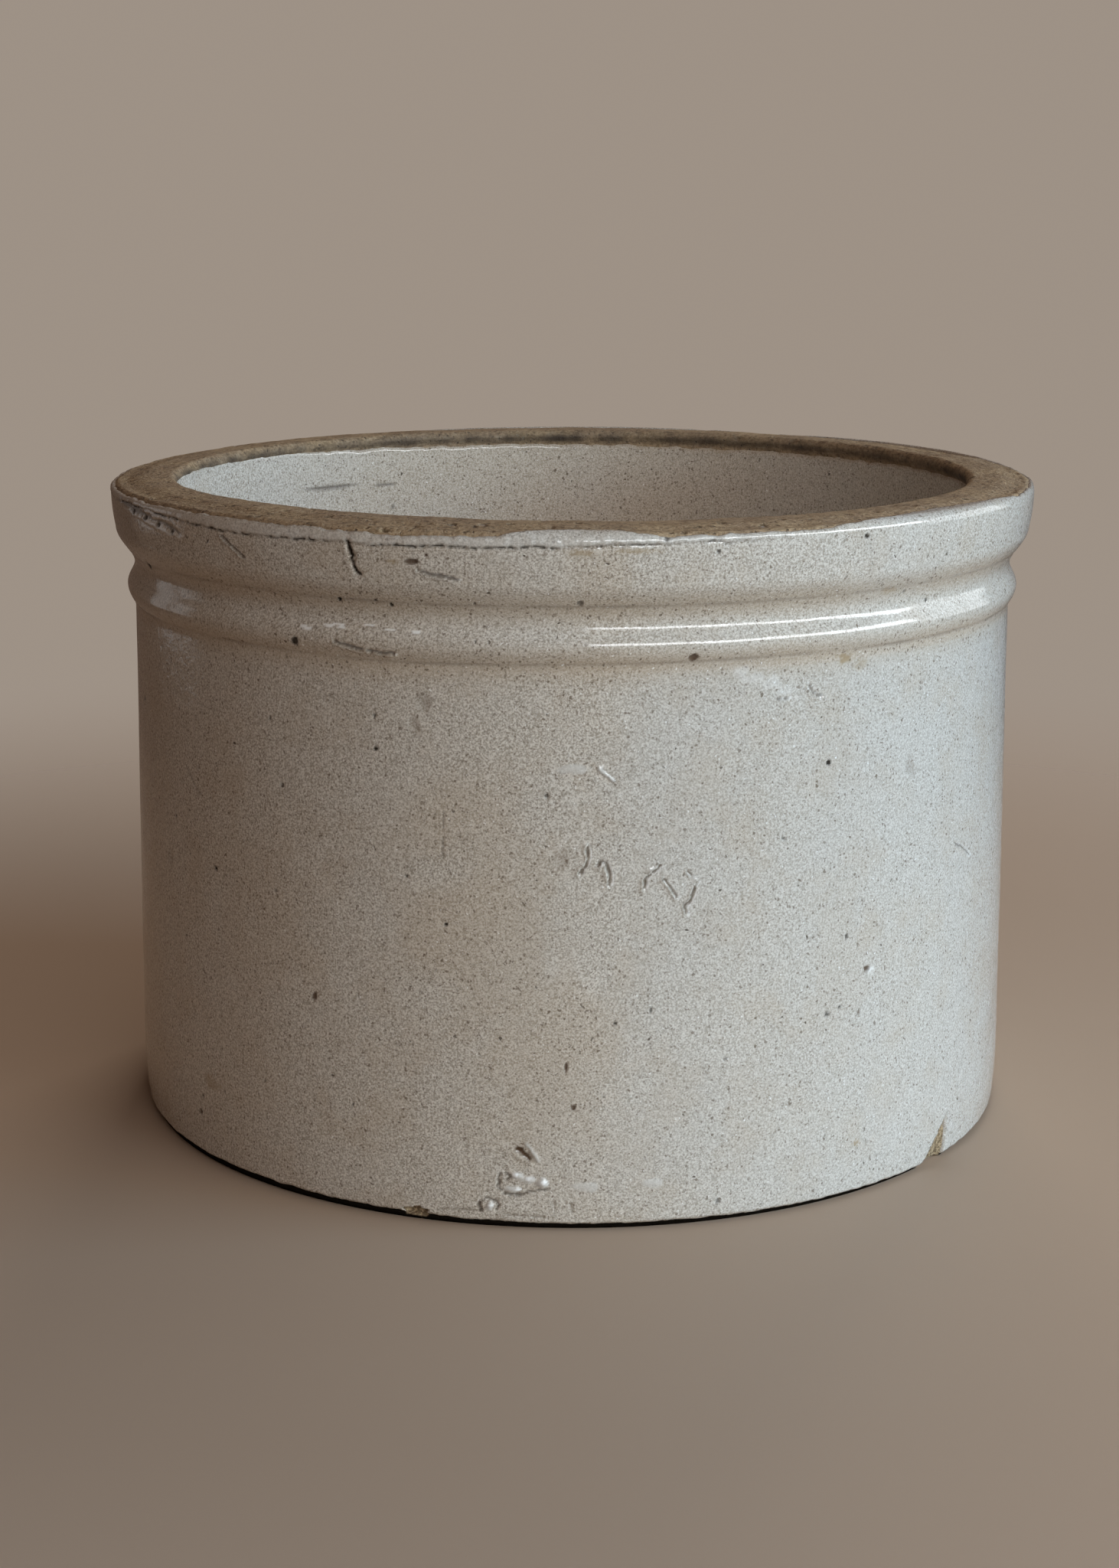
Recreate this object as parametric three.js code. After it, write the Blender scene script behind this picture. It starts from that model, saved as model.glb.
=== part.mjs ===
// Low stoneware fermenting crock with two half-moon weight stones.
// Millimetres, +Z up, crock axis on Z, underside of the crock on z = 0.
import * as THREE from 'three';

// Crock, outside.
const height = 193.5;
const rimRadius = 140;
const rimEdgeRound = 3;
const neckRadius = 133.6;
const neckHeight = 169;
const flangeStep = 5.3;
const flangeStepHeight = 11;
const flangeLean = rimRadius - neckRadius - flangeStep;
const beadHeight = 162;
const beadRise = 2.3;
const beadHalfWidth = 6.6;
const wallFootRadius = 135.5;
const footTuck = 1.5;
const footTuckHeight = 8;
const footRound = 2.2;

// Crock, inside.
const mouthRadius = 120.5;
const lipRound = 2;
const floorThickness = 14;
const floorCornerRound = 12;
const insideTaper = 2.5;

// Weight stones.
const stoneRadius = 110;
const stoneThickness = 22;
const stoneEdgeRound = 4.5;
const stoneHalfGap = 1.5;
const stoneFloorGap = 0.3;
const stoneCornerRound = 9;
const notchRadius = 17;
const notchCornerRound = 6;

// Mesh density.
const turnSegments = 96;
const wallSteps = 10;
const beadSteps = 10;
const flangeSteps = 12;
const roundSteps = 4;
const notchSteps = 12;
const stoneArcSteps = 40;

const smooth = (t) => t * t * (3 - 2 * t);
const clamp = (t) => Math.min(1, Math.max(0, t));

// Points of a circular arc from angle a0 to angle a1, both ends included.
function arc(cx, cy, r, a0, a1, steps) {
  const points = [];
  for (let i = 0; i <= steps; i += 1) {
    const a = a0 + ((a1 - a0) * i) / steps;
    points.push(new THREE.Vector2(cx + r * Math.cos(a), cy + r * Math.sin(a)));
  }
  return points;
}

// Outside radius of the crock at height z: tapered wall, bead, cove and flange.
function outsideRadius(z) {
  const upWall = clamp(z / (beadHeight - beadHalfWidth));
  const taper = THREE.MathUtils.lerp(wallFootRadius, neckRadius, upWall);
  const tuck = footTuck * Math.exp(-z / footTuckHeight);
  const fromBead = clamp(Math.abs(z - beadHeight) / beadHalfWidth);
  const bead = beadRise * 0.5 * (1 + Math.cos(Math.PI * fromBead));
  const stepTop = neckHeight + flangeStepHeight;
  const step = flangeStep * smooth(clamp((z - neckHeight) / flangeStepHeight));
  const up = clamp((z - stepTop) / (height - rimEdgeRound - stepTop));
  return taper - tuck + bead + step + flangeLean * up * (2 - up);
}

function outsidePoints(z0, z1, steps) {
  const points = [];
  for (let i = 1; i <= steps; i += 1) {
    const z = z0 + ((z1 - z0) * i) / steps;
    points.push(new THREE.Vector2(outsideRadius(z), z));
  }
  return points;
}

// Half section of the crock, from the middle of the underside to the middle of the inside floor.
function crockSection() {
  const right = 0;
  const up = Math.PI / 2;
  const left = Math.PI;
  const footRadius = outsideRadius(footRound) - footRound;
  const edgeCentre = height - rimEdgeRound;
  const lipCentre = height - lipRound;
  const cornerRadius = mouthRadius - insideTaper - floorCornerRound;
  const cornerCentre = floorThickness + floorCornerRound;
  return [
    new THREE.Vector2(0, 0),
    ...arc(footRadius, footRound, footRound, -up, right, roundSteps),
    ...outsidePoints(footRound, beadHeight - beadHalfWidth, wallSteps),
    ...outsidePoints(beadHeight - beadHalfWidth, beadHeight + beadHalfWidth, beadSteps),
    ...outsidePoints(beadHeight + beadHalfWidth, edgeCentre, flangeSteps),
    ...arc(rimRadius - rimEdgeRound, edgeCentre, rimEdgeRound, right, up, roundSteps).slice(1),
    ...arc(mouthRadius + lipRound, lipCentre, lipRound, up, left, roundSteps),
    ...arc(cornerRadius, cornerCentre, floorCornerRound, right, -up, roundSteps),
    new THREE.Vector2(0, floorThickness),
  ];
}

// Turns a half section round the Z axis.
function turned(section) {
  const geometry = new THREE.LatheGeometry(section, turnSegments);
  geometry.rotateX(Math.PI / 2);
  return geometry;
}

// Outline of the right-hand stone seen from above, anticlockwise, drawn in by inset on every side.
// Half disc, finger notch in the middle of the straight side, every corner rounded.
function stoneOutline(inset) {
  const notchCornerX = stoneHalfGap + notchCornerRound;
  const notchCornerY = Math.sqrt((notchRadius + notchCornerRound) ** 2 - notchCornerRound ** 2);
  const notchAngle = Math.atan2(notchCornerY, notchCornerRound);
  const cornerX = stoneHalfGap + stoneCornerRound;
  const cornerY = Math.sqrt((stoneRadius - stoneCornerRound) ** 2 - cornerX ** 2);
  const cornerAngle = Math.atan2(cornerY, cornerX);
  const notch = arc(stoneHalfGap, 0, notchRadius + inset, -notchAngle, notchAngle, notchSteps);
  const edge = arc(0, 0, stoneRadius - inset, cornerAngle, -cornerAngle, stoneArcSteps);
  const notchCorner = (side, from, to) =>
    arc(notchCornerX, side * notchCornerY, notchCornerRound - inset, from, to, roundSteps);
  const corner = (side, from, to) =>
    arc(cornerX, side * cornerY, stoneCornerRound - inset, from, to, roundSteps);
  return [
    ...notch.slice(1, -1),
    ...notchCorner(1, Math.PI + notchAngle, Math.PI),
    ...corner(1, Math.PI, cornerAngle).slice(0, -1),
    ...edge,
    ...corner(-1, -cornerAngle, -Math.PI).slice(1),
    ...notchCorner(-1, Math.PI, Math.PI - notchAngle),
  ].reverse();
}

// Inset and height of each level of the stone, from its underside to its top.
function stoneLevels() {
  const levels = [];
  for (const [centre, a0, a1] of [
    [stoneEdgeRound, -Math.PI / 2, 0],
    [stoneThickness - stoneEdgeRound, 0, Math.PI / 2],
  ]) {
    for (const p of arc(-stoneEdgeRound, centre, stoneEdgeRound, a0, a1, roundSteps)) {
      levels.push({ inset: -p.x, z: p.y });
    }
  }
  return levels;
}

// Solid made of stacked outlines, closed by a flat cap below and above.
function stackedSolid(rings) {
  const count = rings[0].length;
  const positions = rings.flatMap((ring) => ring.flatMap((p) => [p.x, p.y, p.z]));
  const index = [];
  for (let r = 0; r + 1 < rings.length; r += 1) {
    for (let i = 0; i < count; i += 1) {
      const j = (i + 1) % count;
      const [a, b] = [r * count + i, r * count + j];
      const [c, d] = [a + count, b + count];
      index.push(a, b, d, a, d, c);
    }
  }
  const top = (rings.length - 1) * count;
  const cap = (ring) => THREE.ShapeUtils.triangulateShape(ring.map((p) => new THREE.Vector2(p.x, p.y)), []);
  for (const [a, b, c] of cap(rings[0])) index.push(a, c, b);
  for (const [a, b, c] of cap(rings[rings.length - 1])) index.push(top + a, top + b, top + c);
  const geometry = new THREE.BufferGeometry();
  geometry.setAttribute('position', new THREE.Float32BufferAttribute(positions, 3));
  geometry.setIndex(index);
  geometry.computeVertexNormals();
  return geometry;
}

// One weight stone resting on the crock floor; side is +1 for the right one, -1 for the left one.
function stone(side) {
  const z0 = floorThickness + stoneFloorGap;
  const ringAt = (level) =>
    stoneOutline(level.inset).map((p) => new THREE.Vector3(side * p.x, side * p.y, z0 + level.z));
  return stackedSolid(stoneLevels().map(ringAt));
}

function named(name, geometry, color, roughness) {
  const material = new THREE.MeshStandardMaterial({ color, roughness, metalness: 0 });
  const mesh = new THREE.Mesh(geometry, material);
  mesh.name = name;
  return mesh;
}

const part = new THREE.Group();
part.name = 'ceramic_crock_fermenter';
part.add(named('crock_body', turned(crockSection()), 0xb5ada0, 0.35));
part.add(named('weight_stone_right', stone(1), 0xb9ad98, 0.75));
part.add(named('weight_stone_left', stone(-1), 0xb9ad98, 0.75));

export default part;
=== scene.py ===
import math

import bpy
import numpy as np
from mathutils import Matrix, Vector


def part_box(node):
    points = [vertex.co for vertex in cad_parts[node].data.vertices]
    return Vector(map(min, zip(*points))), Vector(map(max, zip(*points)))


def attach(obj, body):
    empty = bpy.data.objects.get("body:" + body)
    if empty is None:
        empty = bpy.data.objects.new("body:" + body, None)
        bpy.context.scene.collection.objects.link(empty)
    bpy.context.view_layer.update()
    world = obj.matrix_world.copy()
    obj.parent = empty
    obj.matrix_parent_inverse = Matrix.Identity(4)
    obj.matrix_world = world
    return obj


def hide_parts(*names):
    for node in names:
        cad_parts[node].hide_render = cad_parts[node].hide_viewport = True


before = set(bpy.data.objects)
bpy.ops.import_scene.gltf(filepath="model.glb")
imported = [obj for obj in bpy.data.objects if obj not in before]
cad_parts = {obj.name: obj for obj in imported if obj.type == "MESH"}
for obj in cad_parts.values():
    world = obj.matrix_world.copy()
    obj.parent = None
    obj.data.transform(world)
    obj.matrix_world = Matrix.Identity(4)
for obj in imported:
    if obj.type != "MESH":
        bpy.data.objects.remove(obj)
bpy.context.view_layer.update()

_, crock_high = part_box("crock_body")

# The crock's section, as the CAD has it.
rim_radius = crock_high.x
rim_height = crock_high.z
mm = rim_radius / 140
rim_round = 3 * mm
neck_radius = 133.6 * mm
neck_height = 169 * mm
flange_step = 5.3 * mm
step_height = 11 * mm
flange_lean = rim_radius - neck_radius - flange_step
bead_height = 162 * mm
bead_rise = 2.3 * mm
bead_half = 6.6 * mm
bead_foot = bead_height - bead_half
foot_radius = 135.5 * mm
foot_tuck = 1.5 * mm
foot_tuck_height = 8 * mm
foot_bevel = 0.9 * mm
foot_in = 132.8 * mm
mouth_radius = 120.5 * mm
lip_round = 2 * mm
inside_taper = 2.5 * mm
floor_height = 14 * mm
floor_round = 12 * mm

# The glaze.
coat = 0.6 * mm
coat_back = 1.2 * mm
glaze_drop = 4.6 * mm
edge_slope = 0.5 * mm
roll_at = 0.9 * mm
roll_width = 0.7 * mm
edge_band = 1.3 * mm

# Lists of marks give a bearing, a height above mark_base, where the glaze starts, and sizes, all in
# millimetres; dent, groove and patch turn them into the frame's lengths.
mark_base = 2 * mm

# Mesh density round the crock, from the back: (bearing where a stretch ends, its step).
back_start = -180
stretches = [(-98, 0.6), (-64, 0.35), (-28, 0.24), (18, 0.15), (62, 0.22), (98, 0.35), (180, 0.6)]

# Mesh density up the wall: (height where a stretch ends, its step).
wall_stretches = [(4 * mm, 0.25 * mm), (28 * mm, 0.5 * mm), (86 * mm, 0.75 * mm), (133 * mm, 0.4 * mm),
                  (bead_foot, 0.7 * mm)]
trim_step = 0.4 * mm


# ---- shapes in numbers

def smooth(t):
    t = np.clip(t, 0, 1)
    return t * t * (3 - 2 * t)


def outside_radius(z):
    """Outside radius of the crock at height z: tapered wall, bead, cove and flange."""
    up_wall = np.clip(z / bead_foot, 0, 1)
    taper = foot_radius + (neck_radius - foot_radius) * up_wall
    tuck = foot_tuck * np.exp(-z / foot_tuck_height)
    from_bead = np.clip(abs(z - bead_height) / bead_half, 0, 1)
    bead = bead_rise * 0.5 * (1 + np.cos(np.pi * from_bead))
    step_top = neck_height + step_height
    step = flange_step * smooth((z - neck_height) / step_height)
    up = np.clip((z - step_top) / (rim_height - rim_round - step_top), 0, 1)
    return taper - tuck + bead + step + flange_lean * up * (2 - up)


def levels(low, high, step):
    """Evenly spaced values from low to just short of high."""
    return np.linspace(low, high, max(2, round(abs(high - low) / step)), endpoint=False)


def arc(centre, radius, start, end, step):
    angles = np.radians(levels(start, end, math.degrees(step / radius)))
    return np.stack([centre[0] + radius * np.cos(angles), centre[1] + radius * np.sin(angles)], 1)


def outside_section(low, coarser=1):
    """(radius, height) points up the outside from height low to the top of the rim's outer round."""
    zones = [*wall_stretches, (rim_height - rim_round, trim_step)]
    starts = [low, *(end for end, _ in zones)]
    z = np.concatenate([levels(start, end, coarser * step) for start, (end, step) in zip(starts, zones)])
    wall = np.stack([outside_radius(z), z], 1)
    centre = (rim_radius - rim_round, rim_height - rim_round)
    return np.concatenate([wall, arc(centre, rim_round, 0, 90, trim_step)])


def flat(start, end, step):
    """Evenly spaced points on a straight line of the section, without its end."""
    count = max(2, round(math.dist(start, end) / step))
    share = np.linspace(0, 1, count, endpoint=False)[:, None]
    return np.array(start) + share * (np.array(end) - np.array(start))


def inside_section(top, step, floor_step):
    """(radius, height) points down the inside wall from height top, and across the floor."""
    corner = mouth_radius - inside_taper - floor_round
    wall = flat((mouth_radius, top), (mouth_radius - inside_taper, floor_height + floor_round), step)
    turn = arc((corner, floor_height + floor_round), floor_round, 0, -90, 2 * step)
    return np.concatenate([wall, turn, flat((corner, floor_height), (2 * mm, floor_height), floor_step)])


def lattice_noise(points, seed):
    """Smooth repeatable noise from -1 to 1, with one feature per unit of length."""
    cell = np.floor(points).astype(np.int64)
    part = smooth(points - cell)
    total = np.zeros(points.shape[:-1])
    for corner in np.ndindex(2, 2, 2):
        i = cell + corner
        mixed = i[..., 0] * 73856093 ^ i[..., 1] * 19349663 ^ i[..., 2] * 83492791 ^ seed * 668265263
        mixed = ((mixed ^ (mixed >> 13)) * 1274126177) & 0x7FFFFFFF
        value = ((mixed ^ (mixed >> 15)) & 0xFFFF) / 0xFFFF
        weight = np.ones(points.shape[:-1])
        for axis in range(3):
            weight *= part[..., axis] if corner[axis] else 1 - part[..., axis]
        total += weight * value
    return 2 * total - 1


def rough(points, size, seed, octaves=2):
    """Noise of several sizes in millimetres, each half the one before."""
    size = size * mm
    return sum(lattice_noise(points * 2**k / size + 17.3 * k, seed + k) * 0.5**k for k in range(octaves))


def bell(away, width):
    return np.exp(-((away / width) ** 2))


class Skin:
    """A turned surface as a grid, with a row for each point of its section and a column for each bearing
    from -180 to 180. raised is how far each point stands off; marks are layers for the shaders."""

    def __init__(self, section, bearings):
        self.section = section
        self.radius, self.height = section[:, :1], section[:, 1:]
        self.bearings = bearings
        steps = np.hypot(*np.gradient(section, axis=0).T)
        self.along = np.concatenate([[0], np.cumsum((steps[1:] + steps[:-1]) / 2)])
        tangent = np.gradient(section, axis=0) / steps[:, None]
        self.normal = np.stack([tangent[:, 1], -tangent[:, 0]], 1)
        self.raised = np.zeros((len(section), len(bearings)))
        self.marks = {}
        self.rest = self.points(self.raised)

    def points(self, raised):
        turn = np.radians(self.bearings)
        radius = self.radius + self.normal[:, :1] * raised
        z = self.height + self.normal[:, 1:] * raised
        return np.stack([radius * np.sin(turn), -radius * np.cos(turn), z + 0 * turn], 2)

    def along_at(self, z):
        """Distance along the section where the outside wall is at height z."""
        top = int(np.argmax(self.section[:, 1])) + 1
        return np.interp(z, self.section[:top, 1], self.along[:top])

    def spot(self, z):
        """The same for a height from a list of marks."""
        return self.along_at(z * mm + mark_base)

    def near(self, bearing, along, reach):
        """Grid indices within reach of a point, and their distances round and along from it."""
        turn = (self.bearings - bearing + 180) % 360 - 180
        rows = np.flatnonzero(abs(self.along - along) < reach)
        columns = np.flatnonzero(abs(np.radians(turn)) * neck_radius < reach)
        u = np.radians(turn[columns])[None, :] * neck_radius
        v = (self.along[rows] - along)[:, None]
        return np.ix_(rows, columns), u + 0 * v, v + 0 * u

    def around(self, places, values):
        """A value for every bearing, from the values at some of them."""
        return np.interp(self.bearings, places, values)[None, :]

    def mark(self, name, amount, where=np.s_[:, :]):
        layer = self.marks.setdefault(name, np.zeros(self.raised.shape))
        layer[where] = np.maximum(layer[where], amount)


def dent(skin, bearing, z, across, up, depth, mark=None, amount=1.0, seed=0):
    """A bowl with uneven sides; a negative depth raises a lump."""
    size = max(across, up)
    where, u, v = skin.near(bearing, skin.spot(z), 2 * size * mm)
    wander = 1 + 0.35 * rough(skin.rest[where], size, seed + 5)
    reach = ((u / (across * mm)) ** 2 + (v / (up * mm)) ** 2) * wander**2
    bowl = np.clip(1 - reach, 0, 1)
    skin.raised[where] -= depth * mm * bowl**1.5
    if mark:
        skin.mark(mark, amount * np.clip(2.2 * bowl, 0, 1), where)


def dents(skin, places, across, up, depth, mark, amount, seed):
    for n, (bearing, z) in enumerate(places):
        dent(skin, bearing, z, across, up, depth, mark, amount, seed + n)


def distance_to_line(u, v, line):
    """Distance from each point to a broken line, and which side of it the point is on."""
    best = np.full(u.shape, 1e9)
    side = np.zeros(u.shape)
    for (u0, v0), (u1, v1) in zip(line, line[1:]):
        du, dv = u1 - u0, v1 - v0
        share = np.clip(((u - u0) * du + (v - v0) * dv) / (du * du + dv * dv), 0, 1)
        away = np.hypot(u - u0 - share * du, v - v0 - share * dv)
        turn = np.sign((u - u0) * dv - (v - v0) * du)
        side = np.where(away < best, turn, side)
        best = np.minimum(best, away)
    return best, side


def groove(skin, line, width, depth, lip, mark, amount):
    """A ragged cut along a line of (bearing, height) points, with a raised lip on its right side."""
    width, depth, lip = width * mm, depth * mm, lip * mm
    bearing = sum(b for b, _ in line) / len(line)
    alongs = [skin.spot(z) for _, z in line]
    middle = sum(alongs) / len(alongs)
    flat_line = [(math.radians(b - bearing) * neck_radius, a - middle) for (b, _), a in zip(line, alongs)]
    reach = max(max(abs(u), abs(v)) for u, v in flat_line) + 6 * width
    where, u, v = skin.near(bearing, middle, reach)
    place = skin.rest[where]
    jag = 0.5 * width * rough(place, 3, 31) + 0.8 * width * rough(place, 1.1, 33)
    away, side = distance_to_line(u + jag, v - jag, flat_line)
    local = width * (1 + 0.6 * rough(place, 1.7, 37))
    skin.raised[where] -= depth * bell(away, local)
    skin.raised[where] += lip * bell(away * side - 1.5 * local, local)
    skin.mark(mark, amount * np.clip(1.6 * bell(away, local) - 0.3, 0, 1), where)


def patch(skin, name, bearing, z, across, up, amount, seed):
    """A cloud on one of the marks, with soft uneven edges."""
    where, u, v = skin.near(bearing, skin.spot(z), 1.8 * max(across, up) * mm)
    wander = 0.45 * rough(skin.rest[where], 0.5 * min(across, up), seed + 9)
    reach = np.hypot(u / (across * mm), v / (up * mm)) + wander
    skin.mark(name, amount * smooth(1.5 * (1 - reach)), where)


# ---- meshes

def add_object(name, data):
    made = bpy.data.objects.new(name, data)
    bpy.context.scene.collection.objects.link(made)
    return made


def grid_mesh(name, rows, marks, ends=None):
    """A closed mesh from rings of points. The ends are centre points that close it; without them the last
    ring joins the first. Marks cover the first rings and are 0 on the others."""
    ring_count, count = rows.shape[:2]
    points = rows.reshape(-1, 3)
    looped = ends is None
    lower = np.arange(ring_count if looped else ring_count - 1)[:, None]
    upper = (lower + 1) % ring_count
    here = np.arange(count)[None, :]
    there = (here + 1) % count
    corners = [lower * count + here, lower * count + there, upper * count + there, upper * count + here]
    quads = np.stack(corners, 2).reshape(-1, 4)
    loops = quads.ravel()
    sizes = np.full(len(quads), 4)
    if not looped:
        points = np.concatenate([points, ends])
        first, last = len(points) - 2, len(points) - 1
        ring, after = here[0], there[0]
        top = (ring_count - 1) * count
        bottom_fan = np.stack([np.full(count, first), after, ring], 1)
        top_fan = np.stack([np.full(count, last), top + ring, top + after], 1)
        loops = np.concatenate([loops, bottom_fan.ravel(), top_fan.ravel()])
        sizes = np.concatenate([sizes, np.full(2 * count, 3)])
    mesh = bpy.data.meshes.new(name)
    mesh.vertices.add(len(points))
    mesh.vertices.foreach_set("co", points.astype(np.float32).ravel())
    mesh.loops.add(len(loops))
    mesh.loops.foreach_set("vertex_index", loops.astype(np.int32))
    mesh.polygons.add(len(sizes))
    mesh.polygons.foreach_set("loop_start", (np.cumsum(sizes) - sizes).astype(np.int32))
    mesh.update(calc_edges=True)
    mesh.shade_smooth()
    for key, layer in marks.items():
        values = np.zeros(len(points), np.float32)
        values[: layer.size] = layer.ravel()
        mesh.attributes.new(key, "FLOAT", "POINT").data.foreach_set("value", values)
    return add_object(name, mesh)


def bearings():
    starts = [back_start, *(end for end, _ in stretches)]
    return np.concatenate([np.arange(start, end, step) for start, (end, step) in zip(starts, stretches)])


# ---- the crock's own unevenness

def crown(skin):
    """The rim's flat is a little higher near the mouth than at its outer edge."""
    inward = smooth((rim_radius - 3.5 * mm - skin.radius) / (7 * mm))
    return mm * inward * smooth((skin.height - rim_height + lip_round + 2.5 * mm) / (2.5 * mm))


def turned_by_hand(skin):
    """Out of round, throwing rings and the slow swells of a hand-finished wall."""
    turn = np.radians(skin.bearings)[None, :]
    oval = 0.35 * np.cos(2 * turn + 0.6) + 0.2 * np.cos(3 * turn + 2.1)
    body = smooth(skin.height / (40 * mm)) * (skin.radius > 100 * mm)
    rings = rough(skin.rest * [0.15, 0.15, 1], 9, 3)
    swell = rough(skin.rest, 45, 7)
    small = rough(skin.rest, 9, 11)
    return crown(skin) + mm * (oval * body * 0.6 + 0.05 * rings + 0.16 * swell + 0.045 * small)


def creases(skin):
    """The sharp tool lines under the bead and in the cove, with painted shade in and round them."""
    lines = [(bead_foot + 2 * mm, 0.5, 0.32, 1.0), (neck_height + 4.1 * mm, 0.6, 0.26, 0.9)]
    slow = skin.bearings / 22
    for n, (height, width, depth, dirt) in enumerate(lines):
        wander = 0.7 * mm * lattice_noise(np.stack([slow, slow * 0, slow * 0 + n], 1), 51)
        away = skin.along[:, None] - skin.along_at(height) - wander[None, :]
        strength = 0.55 + 0.45 * rough(skin.rest, 14, 53 + n)
        line = strength * bell(away, width * mm)
        skin.raised -= depth * mm * line
        # Painted shade: the shade mark darkens each crease line, and a broad warm band darkens the glaze
        # round it.
        skin.mark("shade", dirt * 0.95 * line)
        skin.mark("warm", dirt * bell(away, 5 * mm))


def rim_edge_of_glaze(skin):
    """How far along the section the outside glaze reaches: it laps onto the rim in places."""
    lap = skin.around(
        [-180, -150, -118, -74, -40, -28, -16, -12, -8, -4, 0, 4, 10, 20, 29, 36, 45, 55, 68, 95,
         125, 150, 180],
        [5.5, 3.2, 2.2, 2, 2.1, 1.7, 1, 1.4, 2, 4.5, 5.8, 5, 2, 2.2, 2.3, 5, 7.6, 7.2, 3, 2.4,
         6, 3, 5.5],
    )
    return skin.along_at(rim_height - rim_round) + lap * mm


def foot_chip(skin, depth):
    """The three-cornered chip at the foot on the right: one side leans, the other is upright."""
    where, u, v = skin.near(53, 0, 22 * mm)
    x = u / mm
    z = (v + skin.section[0, 1] - mark_base) / mm
    left = (x + 6.6) * 0.735 - z * 0.72
    right = 4.6 - x
    inside = np.minimum(left, right) + 0.35 * rough(skin.rest[where], 2.0, 41, 3)
    depth[where] = np.clip(inside + 0.4, 0, 2.4) * 0.5 * mm


def outside_chips(skin):
    """Depth of the broken-away places at each grid point; 0 where the wall is whole."""
    depth = np.zeros(skin.raised.shape)
    foot_chip(skin, depth)
    nicks = [
        (-18.2, 0.8, 4, 1.5), (118, 0.6, 4.5, 2), (171, 0.8, 6, 2.6), (236, 0.5, 3, 1.4),
        (282, 0.6, 5, 1.6), (-20.4, 190.6, 1.2, 0.5), (96, 188.6, 2.4, 1.6), (143, 190.2, 3.2, 1.2),
        (205, 189.4, 2, 1.4), (251, 188.2, 2.6, 1.3),
    ]
    for n, (bearing, z, across, up) in enumerate(nicks):
        where, u, v = skin.near(bearing, skin.spot(z), 3 * across * mm)
        reach = np.hypot(u / across, v / up) / mm + 0.5 * rough(skin.rest[where], 1.5, 50 + n)
        depth[where] = np.maximum(depth[where], np.clip(1.1 - reach, 0, 0.8) * mm)
    return depth


# ---- outside of the crock

def ledge(skin):
    """The rolled edge of the glaze below the rim, which ends in a rough dark line."""
    drop = skin.around([-180, -140, -95, -57, -41, -20, -2, 12, 30, 95, 140, 180],
                       [4.4, 3.2, 2.9, 3.1, 4.8, 4.6, 4, 3.2, 3.4, 3.4, 3, 4.4])
    shown = skin.around([-180, -150, -128, -98, -84, -72, 14, 26, 112, 128, 165, 180],
                        [1, 0.8, 0, 0, 0.5, 1, 1, 0, 0, 0.9, 0.4, 1])
    line = skin.along_at(rim_height - drop * mm)
    ragged = 0.3 * mm * rough(skin.rest, 5, 21) + 0.22 * mm * rough(skin.rest, 1.3, 22)
    above = skin.along[:, None] - line + ragged
    gaps = smooth(0.75 + 1.5 * rough(skin.rest, 9, 25))
    crumbs = smooth(0.75 + 1.6 * rough(skin.rest, 1.2, 26))
    strength = shown * (0.25 + 0.75 * gaps * crumbs)
    step = smooth(above / (0.4 * mm)) * smooth((4.5 * mm - above) / (4 * mm))
    slot = bell(above, 0.36 * mm)
    dimples = 0.12 * rough(skin.rest, 2.2, 27) * step
    skin.raised += shown * mm * (0.32 * step + dimples) - strength * 0.4 * mm * slot
    skin.mark("black", strength * slot)
    skin.mark("pale", 0.45 * shown * step)


def gloss(skin):
    """The bead and the rim's edge are smoother than the wall."""
    from_bead = abs(skin.height - bead_height - 1.5 * mm) / (7 * mm)
    from_rim = (rim_height - skin.height) / (5 * mm)
    skin.mark("gloss", smooth(1.6 - 1.6 * np.minimum(from_bead, from_rim)))


def calm_and_cool_light(skin):
    """The glaze is finer grained toward the right of the wall, with a painted cool tint for the daylight
    there.
    """
    share = skin.around([-180, -90, 3, 9, 32, 90, 150, 180], [0.3, 0, 0, 0.5, 1, 1, 0.3, 0.3])
    below_bead = 0.45 + 0.55 * (skin.height < bead_foot)
    skin.mark("calm_and_cool_light", share * below_bead)


def rim_crack(skin):
    """The crack down from the rim, in two lengths joined by a hair line."""
    upper = [(-24.7, 187.2), (-24.5, 185.6), (-24.3, 183.6), (-24.2, 182)]
    lower = [(-24.1, 181.6), (-24, 179.9), (-23.7, 178.9), (-23.3, 178.4)]
    groove(skin, upper, 0.62, 0.9, 0, "black", 1)
    groove(skin, lower, 0.6, 0.9, 0, "black", 1)
    groove(skin, [(-24.2, 182.4), (-24.15, 181.2)], 0.22, 0.4, 0, "black", 0.8)


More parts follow.
